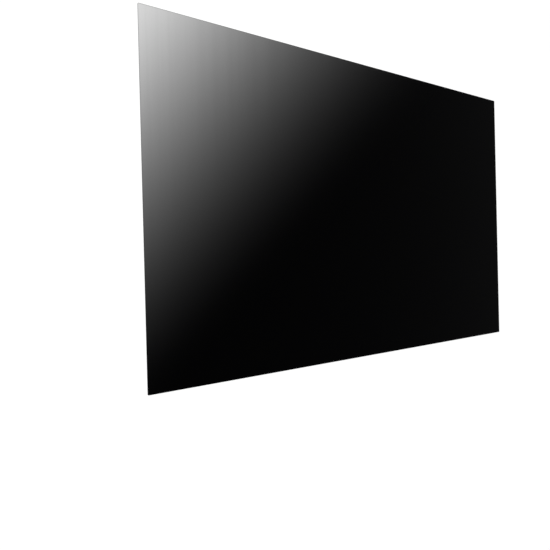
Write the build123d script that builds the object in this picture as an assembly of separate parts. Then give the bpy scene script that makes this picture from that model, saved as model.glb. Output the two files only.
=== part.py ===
from build123d import *
import os

# Privacy filter: one flat rectangular sheet, die-cut from dark see-through film.
# The sheet lies on its back face, and the origin is the centre of that face. +X runs to the right
# along the long side, +Y runs to the top edge, and +Z comes out of the front face. Sizes are in mm.

# Driving dimensions
sheet_width = 531.3        # long side, 24 inch size in the 16:9 format
sheet_height = 298.9       # short side of the same format
sheet_thickness = 0.55     # the bonded film, face to face
corner_radius = 1.0        # rounding of the outline at its four corners
front_edge_roll = 0.12     # radius that the cutting blade leaves where it goes into the front face
back_edge_break = 0.05     # small flat that takes off the burr where the blade comes out


def cut_blank():
    """Returns the sheet as the blade cuts it: the rounded outline, as deep as the film is thick."""
    outline = RectangleRounded(sheet_width, sheet_height, corner_radius)
    return extrude(outline, amount=sheet_thickness)


def roll_front_edge(blank):
    """Returns the blank with a small round along the whole rim of its front face."""
    front_face = blank.faces().sort_by(Axis.Z)[-1]
    return fillet(front_face.outer_wire().edges(), front_edge_roll)


def break_back_edge(blank):
    """Returns the blank with a small flat along the whole rim of its back face."""
    back_face = blank.faces().sort_by(Axis.Z)[0]
    return chamfer(back_face.outer_wire().edges(), back_edge_break)


filter_sheet = break_back_edge(roll_front_edge(cut_blank()))

os.makedirs("parts", exist_ok=True)
export_step(filter_sheet, "parts/filter_sheet.step")
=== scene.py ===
"""Dresses the privacy filter and sets up the studio that it is seen in.

The filter is one die-cut sheet of dark see-through film that lies on its back face. Its form comes
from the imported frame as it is. This script gives the film its finish, and adds a white floor, soft
lamps, a white surround and the camera. Lengths are in metres, in the frame's own axes: +X to the
right along the long side, +Y to the top edge and +Z out of the front face.
"""

import logging
import math
from dataclasses import dataclass
from enum import Enum

import bpy
from mathutils import Matrix, Quaternion, Vector

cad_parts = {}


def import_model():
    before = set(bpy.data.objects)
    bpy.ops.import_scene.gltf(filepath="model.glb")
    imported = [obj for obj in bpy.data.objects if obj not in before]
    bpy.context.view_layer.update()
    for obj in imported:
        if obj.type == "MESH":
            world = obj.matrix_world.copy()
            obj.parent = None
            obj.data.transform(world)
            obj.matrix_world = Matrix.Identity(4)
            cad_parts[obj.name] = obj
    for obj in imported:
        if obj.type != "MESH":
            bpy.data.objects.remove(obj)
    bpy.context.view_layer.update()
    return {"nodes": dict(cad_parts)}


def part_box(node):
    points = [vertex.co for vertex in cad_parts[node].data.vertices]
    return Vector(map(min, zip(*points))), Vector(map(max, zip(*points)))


LOG = logging.getLogger("privacy_filter")
SHEET_NODE = "filter_sheet"
MM_PER_M = 1000.0
WHITE = (1.0, 1.0, 1.0, 1.0)
SHEET_UP = (0.0, 1.0, 0.0)
LENS_AXIS = (0.0, 0.0, 1.0)

Socket = bpy.types.NodeSocket
Value = Socket | float | tuple[float, ...]
Span = tuple[float, float]
Triple = tuple[float, float, float]


class Corner(Enum):
    """A corner of a rectangle, clockwise from above, as the signs of its X and Y places."""

    UPPER_LEFT = (-1, 1)
    UPPER_RIGHT = (1, 1)
    LOWER_RIGHT = (1, -1)
    LOWER_LEFT = (-1, -1)


class SeenBy(Enum):
    """A kind of ray that sees the floor and the surround as white, by its Light Path output."""

    CAMERA = "Is Camera Ray"
    GLOSS = "Is Glossy Ray"
    GLASS = "Is Transmission Ray"


class Graph:
    """Builds one node tree, a node at a time."""

    def __init__(self, tree: bpy.types.NodeTree) -> None:
        """Takes the tree of a material or of the world, and empties it."""
        self.tree = tree
        self.tree.nodes.clear()

    def feed(self, target: Socket, value: Value) -> None:
        """Links a socket to an input, or sets the input to a plain value.

        Args:
            target: The input to feed.
            value: An output socket, a number or a tuple of numbers.
        """
        if isinstance(value, Socket):
            self.tree.links.new(value, target)
        else:
            target.default_value = value

    def node(
        self, kind: str, inputs: dict[str, Value] | None = None, **settings: object
    ) -> bpy.types.Node:
        """Adds a node.

        Args:
            kind: The node's type name.
            inputs: What goes into its inputs, by their names.
            settings: Attributes of the node, which are set first.

        Returns:
            The new node.
        """
        made = self.tree.nodes.new(kind)
        for name, setting in settings.items():
            setattr(made, name, setting)
        for name, value in (inputs or {}).items():
            self.feed(made.inputs[name], value)
        return made

    def operate(self, kind: str, operation: str, values: tuple[Value, ...]) -> bpy.types.Node:
        """Adds a node that works out one result.

        Args:
            kind: The node's type name.
            operation: What the node does, such as MULTIPLY.
            values: Its inputs in order.

        Returns:
            The new node.
        """
        made = self.node(kind, operation=operation)
        for target, value in zip(made.inputs, values):
            self.feed(target, value)
        return made

    def calc(self, operation: str, *values: Value) -> Socket:
        """Adds a Math node and returns its number."""
        return self.operate("ShaderNodeMath", operation, values).outputs["Value"]

    def vector(self, operation: str, *values: Value) -> Socket:
        """Adds a Vector Math node and returns its vector."""
        return self.operate("ShaderNodeVectorMath", operation, values).outputs["Vector"]

    def measure(self, operation: str, *values: Value) -> Socket:
        """Adds a Vector Math node and returns its number."""
        return self.operate("ShaderNodeVectorMath", operation, values).outputs["Value"]

    def axis(self, name: str, vector: Socket) -> Socket:
        """Returns one axis of a vector, X, Y or Z."""
        return self.node("ShaderNodeSeparateXYZ", {"Vector": vector}).outputs[name]

    def ramp(self, value: Socket, span: Span, result: Span, smooth: bool = False) -> Socket:
        """Maps a span of values onto another and holds the ends.

        Args:
            value: The socket to map.
            span: Its values at the two ends.
            result: What the two ends become.
            smooth: Whether the ends ease in and out.

        Returns:
            The mapped socket.
        """
        names = ("From Min", "From Max", "To Min", "To Max")
        inputs = {"Value": value, **dict(zip(names, (*span, *result)))}
        curve = "SMOOTHSTEP" if smooth else "LINEAR"
        made = self.node("ShaderNodeMapRange", inputs, clamp=True, interpolation_type=curve)
        return made.outputs["Result"]

    def blend(self, share: Socket, first: Triple, second: Triple) -> Socket:
        """Blends two colours.

        Args:
            share: Socket that is 0 for the first colour and 1 for the second.
            first: Linear red, green and blue.
            second: Linear red, green and blue.

        Returns:
            The blended colour's socket.
        """
        made = self.node("ShaderNodeMix", {"Factor": share}, data_type="RGBA")
        colours = {"A": first, "B": second}
        for socket in made.inputs:
            if socket.type == "RGBA":
                self.feed(socket, (*colours[socket.name], 1.0))
        return next(socket for socket in made.outputs if socket.type == "RGBA")

    def lift(self, level: Value) -> Value:
        """Raises a level to 1 for the rays that see the floor and the surround as white.

        Args:
            level: The level for all other rays.

        Returns:
            The lifted level.
        """
        rays = self.node("ShaderNodeLightPath")
        for kind in SeenBy:
            level = self.calc("MAXIMUM", level, rays.outputs[kind.value])
        return level

    def end(self, kind: str, surface: Socket) -> None:
        """Ends the tree with its output node."""
        self.node(kind, {"Surface": surface})


def start_material(name: str) -> tuple[bpy.types.Material, Graph]:
    """Makes an empty material.

    Args:
        name: The material's name.

    Returns:
        The material, and the graph that builds its nodes.
    """
    made = bpy.data.materials.new(name)
    made.use_nodes = True
    return made, Graph(made.node_tree)


@dataclass(frozen=True)
class SheetSize:
    """The sheet's sizes: half its long side, half its short side and its thickness."""

    half_width: float
    half_height: float
    thickness: float

    def in_mm(self) -> Triple:
        """Returns the whole long side, the whole short side and the thickness in millimetres."""
        width, height = 2 * self.half_width, 2 * self.half_height
        return MM_PER_M * width, MM_PER_M * height, MM_PER_M * self.thickness


@dataclass(frozen=True)
class PaintedAngleShade:
    """How the smoke tint thins out towards one corner of the sheet. The fade is painted shade: a real
    filter darkens where it is seen at a slant through its louvres, and here that darkening is fixed
    into the tint on the sheet.

    One face lets through corner_share of the light at the clear corner. From there the share falls
    along a bearing, measured from the long side into the sheet, and it is nothing at the reach. The
    shoulder keeps the fall slow at first, and the power shapes the rest. The fall slackens along the
    long side, so that the lines of equal tint fan out.
    """

    clear_corner: Corner = Corner.UPPER_LEFT
    bearing_deg: float = 40.0
    slack_per_m: float = 1.335
    corner_share: float = 0.833
    reach: float = 0.2147
    shoulder: float = 1.33
    power: float = 1.787

    def let_through(self, graph: Graph, place: Socket, size: SheetSize) -> Socket:
        """Adds the nodes for the light that one face lets through.

        Args:
            graph: The material's graph.
            place: Socket with the place on the sheet.
            size: The sheet's sizes.

        Returns:
            The share of light, from 0 to corner_share.
        """
        side, end = self.clear_corner.value
        corner = (side * size.half_width, end * size.half_height, 0.0)
        bearing = math.radians(self.bearing_deg)
        inwards = (-side * math.cos(bearing), -end * math.sin(bearing), 0.0)
        from_corner = graph.vector("SUBTRACT", place, corner)
        along_side = graph.calc("ABSOLUTE", graph.axis("X", from_corner))
        slack = graph.calc("MULTIPLY_ADD", along_side, self.slack_per_m, 1.0)
        fallen = graph.calc("DIVIDE", graph.measure("DOT_PRODUCT", from_corner, inwards), slack)
        gone = graph.ramp(fallen, (0.0, self.reach), (0.0, 1.0))
        left = graph.calc("SUBTRACT", 1.0, graph.calc("POWER", gone, self.shoulder))
        return graph.calc("MULTIPLY", graph.calc("POWER", left, self.power), self.corner_share)


@dataclass(frozen=True)
class LouvreStreaks:
    """Faint upright streaks, of several widths, that the film's fine louvres leave in its tint."""

    across_per_m: float = 90.0
    along_per_m: float = 1.5
    finer_steps: float = 4.0
    finer_share: float = 0.7
    noise_span: Span = (0.25, 0.75)
    depth: float = 0.015

    def pattern(self, graph: Graph, place: Socket) -> Socket:
        """Adds the nodes of the streaks.

        Args:
            graph: The material's graph.
            place: Socket with the place on the sheet.

        Returns:
            A factor that stays within depth of 1.
        """
        noise = graph.node("ShaderNodeTexNoise", {
            "Vector": graph.vector("MULTIPLY", place, (self.across_per_m, self.along_per_m, 0.0)),
            "Scale": 1.0,
            "Detail": self.finer_steps,
            "Roughness": self.finer_share,
        }, noise_dimensions="2D")
        return graph.ramp(noise.outputs["Fac"], self.noise_span, (1.0 - self.depth, 1.0 + self.depth))


@dataclass(frozen=True)
class SatinGrain:
    """The fine grain of the anti-glare faces, as bump."""

    per_m: float = 2200.0
    finer_steps: float = 3.0
    height: float = 0.000004
    strength: float = 0.25

    def normal(self, graph: Graph, place: Socket) -> Socket:
        """Adds the nodes of the grain.

        Args:
            graph: The material's graph.
            place: Socket with the place on the sheet.

        Returns:
            The bumped normal's socket.
        """
        noise = graph.node("ShaderNodeTexNoise", {
            "Vector": place,
            "Scale": self.per_m,
            "Detail": self.finer_steps,
        })
        bump = graph.node("ShaderNodeBump", {
            "Strength": self.strength,
            "Distance": self.height,
            "Height": noise.outputs["Fac"],
        })
        return bump.outputs["Normal"]


@dataclass(frozen=True)
class SmokeFilm:
    """Near-black see-through film: satin in front, smoother behind, frosted on the cut edge.

    Its coat against reflections leaves hardly any sheen, except at a low angle.
    """

    # The tint's fade to black is painted shade of the viewing angle, fixed to the sheet.
    tint_and_angle_shade: PaintedAngleShade = PaintedAngleShade()
    streaks: LouvreStreaks = LouvreStreaks()
    grain: SatinGrain = SatinGrain()
    face_colour: Triple = (0.0005, 0.0005, 0.0006)
    edge_colour: Triple = (0.016, 0.016, 0.017)
    front_roughness: float = 0.28
    back_roughness: float = 0.20
    specular_level: float = 0.004
    edge_width: float = 0.00028
    edge_dimming: float = 0.45

    def edge_share(self, graph: Graph, place: Socket, size: SheetSize) -> Socket:
        """Adds the nodes that find the cut edge.

        Args:
            graph: The material's graph.
            place: Socket with the place on the sheet.
            size: The sheet's sizes.

        Returns:
            1 on the cut edge, falling to 0 at edge_width inside the outline.
        """
        gaps: list[Socket] = []
        for name, half in (("X", size.half_width), ("Y", size.half_height)):
            from_middle = graph.calc("ABSOLUTE", graph.axis(name, place))
            gaps.append(graph.calc("SUBTRACT", half, from_middle))
        gap = graph.calc("MINIMUM", *gaps)
        return graph.ramp(gap, (0.0, self.edge_width), (1.0, 0.0), smooth=True)

    def material(self, name: str, size: SheetSize) -> bpy.types.Material:
        """Makes the film's material.

        Args:
            name: The material's name.
            size: The sheet's sizes.

        Returns:
            The new material.
        """
        made, graph = start_material(name)
        place = graph.node("ShaderNodeTexCoord").outputs["Object"]
        edge = self.edge_share(graph, place, size)
        dimming = graph.ramp(edge, (0.0, 1.0), (1.0, 1.0 - self.edge_dimming))
        # Painted shade: the fade of the tint stands in for the darkening of a real filter seen at a
        # slant.
        shown = self.tint_and_angle_shade.let_through(graph, place, size)
        shown = graph.calc("MULTIPLY", shown, self.streaks.pattern(graph, place))
        shown = graph.calc("MULTIPLY", shown, dimming)
        back_to_front = (self.back_roughness, self.front_roughness)
        shader = graph.node("ShaderNodeBsdfPrincipled", {
            "Base Color": graph.blend(edge, self.face_colour, self.edge_colour),
            "Roughness": graph.ramp(graph.axis("Z", place), (0.0, size.thickness), back_to_front),
            "Specular IOR Level": self.specular_level,
            "Normal": self.grain.normal(graph, place),
            "Alpha": graph.calc("SUBTRACT", 1.0, shown),
        })
        graph.end("ShaderNodeOutputMaterial", shader.outputs["BSDF"])
        return made


@dataclass(frozen=True)
class WhiteGround:
    """Floor paint that takes most of its white from a glow of its own, and keeps the shadows.

    The glow makes up for the lamps, whose light is full out to lit_to and has faded at faded_from.
    """

    paint: float = 0.285
    roughness: float = 0.9
    glow: float = 0.77
    far_glow: float = 1.0
    lit_to: float = 0.5
    faded_from: float = 1.9

    def material(self, name: str) -> bpy.types.Material:
        """Makes the floor's material.

        Args:
            name: The material's name.

        Returns:
            The new material.
        """
        made, graph = start_material(name)
        distance = graph.measure("LENGTH", graph.node("ShaderNodeTexCoord").outputs["Object"])
        fading = (self.lit_to, self.faded_from)
        glow = graph.ramp(distance, fading, (self.glow, self.far_glow), smooth=True)
        shader = graph.node("ShaderNodeBsdfPrincipled", {
            "Base Color": (self.paint, self.paint, self.paint, 1.0),
            "Roughness": self.roughness,
            "Specular IOR Level": 0.0,
            "Emission Color": WHITE,
            "Emission Strength": graph.calc("MULTIPLY", graph.lift(0.0), glow),
        })
        graph.end("ShaderNodeOutputMaterial", shader.outputs["BSDF"])
        return made


@dataclass
class FilterSheet:
    """The filter: one flat sheet, as the frame gives it."""

    piece: bpy.types.Object
    size: SheetSize
    finish: SmokeFilm

    @classmethod
    def from_frame(cls, nodes: dict[str, bpy.types.Object], finish: SmokeFilm) -> "FilterSheet":
        """Takes the sheet and its sizes from the frame.

        Args:
            nodes: The frame's objects by node name.
            finish: The film's finish.

        Returns:
            The sheet.
        """
        low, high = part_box(SHEET_NODE)
        span = high - low
        return cls(nodes[SHEET_NODE], SheetSize(span.x / 2, span.y / 2, span.z), finish)

    def dress(self) -> None:
        """Puts the film's finish on the sheet."""
        film = self.finish.material("smoke_film_finish", self.size)
        for slot in self.piece.material_slots:
            slot.material = film
        LOG.info("%s: %.1f x %.1f x %.2f mm of smoke film", self.piece.name, *self.size.in_mm())


@dataclass(frozen=True)
class Softbox:
    """A square soft lamp that points at the sheet's middle."""

    name: str
    place: Triple
    side: float
    power: float

    def hang(self) -> bpy.types.Object:
        """Makes the lamp.

        Returns:
            The lamp's object.
        """
        data = bpy.data.lights.new(self.name, "AREA")
        data.shape = "SQUARE"
        data.size = self.side
        data.energy = self.power
        lamp = bpy.data.objects.new(self.name, data)
        lamp.location = self.place
        lamp.rotation_mode = "QUATERNION"
        lamp.rotation_quaternion = (-Vector(self.place)).to_track_quat("-Z", "Y")
        bpy.context.scene.collection.objects.link(lamp)
        LOG.info("%s: %.2f m square, %.1f W", self.name, self.side, self.power)
        return lamp


@dataclass(frozen=True)
class Viewpoint:
    """The camera: its place, the point that it looks at, its roll, its lens and its rise."""

    place: Triple = (-0.54603, -0.04747, 0.44545)
    aim: Triple = (-0.12977, -0.0524, 0.00055)
    roll_deg: float = -1.409
    lens_mm: float = 44.43
    sensor_mm: float = 36.0
    rise: float = -0.01966
    nearest: float = 0.01

    def turn(self) -> Quaternion:
        """Works out the camera's turn.

        Returns:
            The turn that looks at the aim with the sheet's +Y upwards, then rolls.
        """
        back = (Vector(self.place) - Vector(self.aim)).normalized()
        right = Vector(SHEET_UP).cross(back).normalized()
        upright = Matrix((right, back.cross(right), back)).transposed().to_quaternion()
        return upright @ Quaternion(LENS_AXIS, math.radians(self.roll_deg))

    def set_up(self) -> bpy.types.Object:
        """Makes the camera and gives it to the scene.

        Returns:
            The camera's object.
        """
        data = bpy.data.cameras.new("camera")
        data.sensor_width = self.sensor_mm
        data.lens = self.lens_mm
        data.shift_y = self.rise
        data.clip_start = self.nearest
        camera = bpy.data.objects.new("camera", data)
        camera.location = self.place
        camera.rotation_mode = "QUATERNION"
        camera.rotation_quaternion = self.turn()
        bpy.context.scene.collection.objects.link(camera)
        bpy.context.scene.camera = camera
        distance = (Vector(self.place) - Vector(self.aim)).length
        LOG.info("camera: %.2f mm lens, %.2f m from its aim", self.lens_mm, distance)
        return camera


@dataclass(frozen=True)
class Surround:
    """The room: white to the camera, in gloss and through glass, and dim as a source of light."""

    ambient: float = 0.06

    def set_up(self) -> None:
        """Makes the world and gives it to the scene."""
        world = bpy.data.worlds.new("surround")
        world.use_nodes = True
        graph = Graph(world.node_tree)
        background = graph.node("ShaderNodeBackground", {
            "Color": WHITE,
            "Strength": graph.lift(self.ambient),
        })
        graph.end("ShaderNodeOutputWorld", background.outputs["Background"])
        bpy.context.scene.world = world
        LOG.info("surround: white, %.2f as a source of light", self.ambient)


@dataclass
class Studio:
    """The floor, the lamps, the surround and the camera."""

    ground: WhiteGround = WhiteGround()
    surround: Surround = Surround()
    viewpoint: Viewpoint = Viewpoint()
    floor_half: float = 12.0
    floor_gap: float = 0.0002
    lamps: tuple[Softbox, ...] = (
        Softbox("key_softbox", (-1.6, -1.2, 3.0), 2.1, 98.0),
        Softbox("fill_softbox", (-0.6, 2.4, 2.85), 2.1, 70.5),
    )

    def lay_floor(self) -> bpy.types.Object:
        """Makes the floor, just under the sheet.

        Returns:
            The floor's object.
        """
        signs = [corner.value for corner in Corner]
        corners = [(x * self.floor_half, y * self.floor_half, -self.floor_gap) for x, y in signs]
        facing_up = tuple(reversed(range(len(corners))))
        mesh = bpy.data.meshes.new("floor")
        mesh.from_pydata(corners, [], [facing_up])
        mesh.materials.append(self.ground.material("floor_paint"))
        floor = bpy.data.objects.new("floor", mesh)
        bpy.context.scene.collection.objects.link(floor)
        LOG.info("floor: %.0f m across", 2 * self.floor_half)
        return floor

    def build(self) -> None:
        """Sets up the whole studio."""
        self.lay_floor()
        for lamp in self.lamps:
            lamp.hang()
        self.surround.set_up()
        self.viewpoint.set_up()


def main() -> None:
    """Loads the frame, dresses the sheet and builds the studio."""
    logging.basicConfig(level=logging.INFO, format="%(name)s: %(message)s")
    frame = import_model()
    bpy.context.scene.view_settings.view_transform = "Standard"
    FilterSheet.from_frame(frame["nodes"], SmokeFilm()).dress()
    Studio().build()


if __name__ == "__main__":
    main()
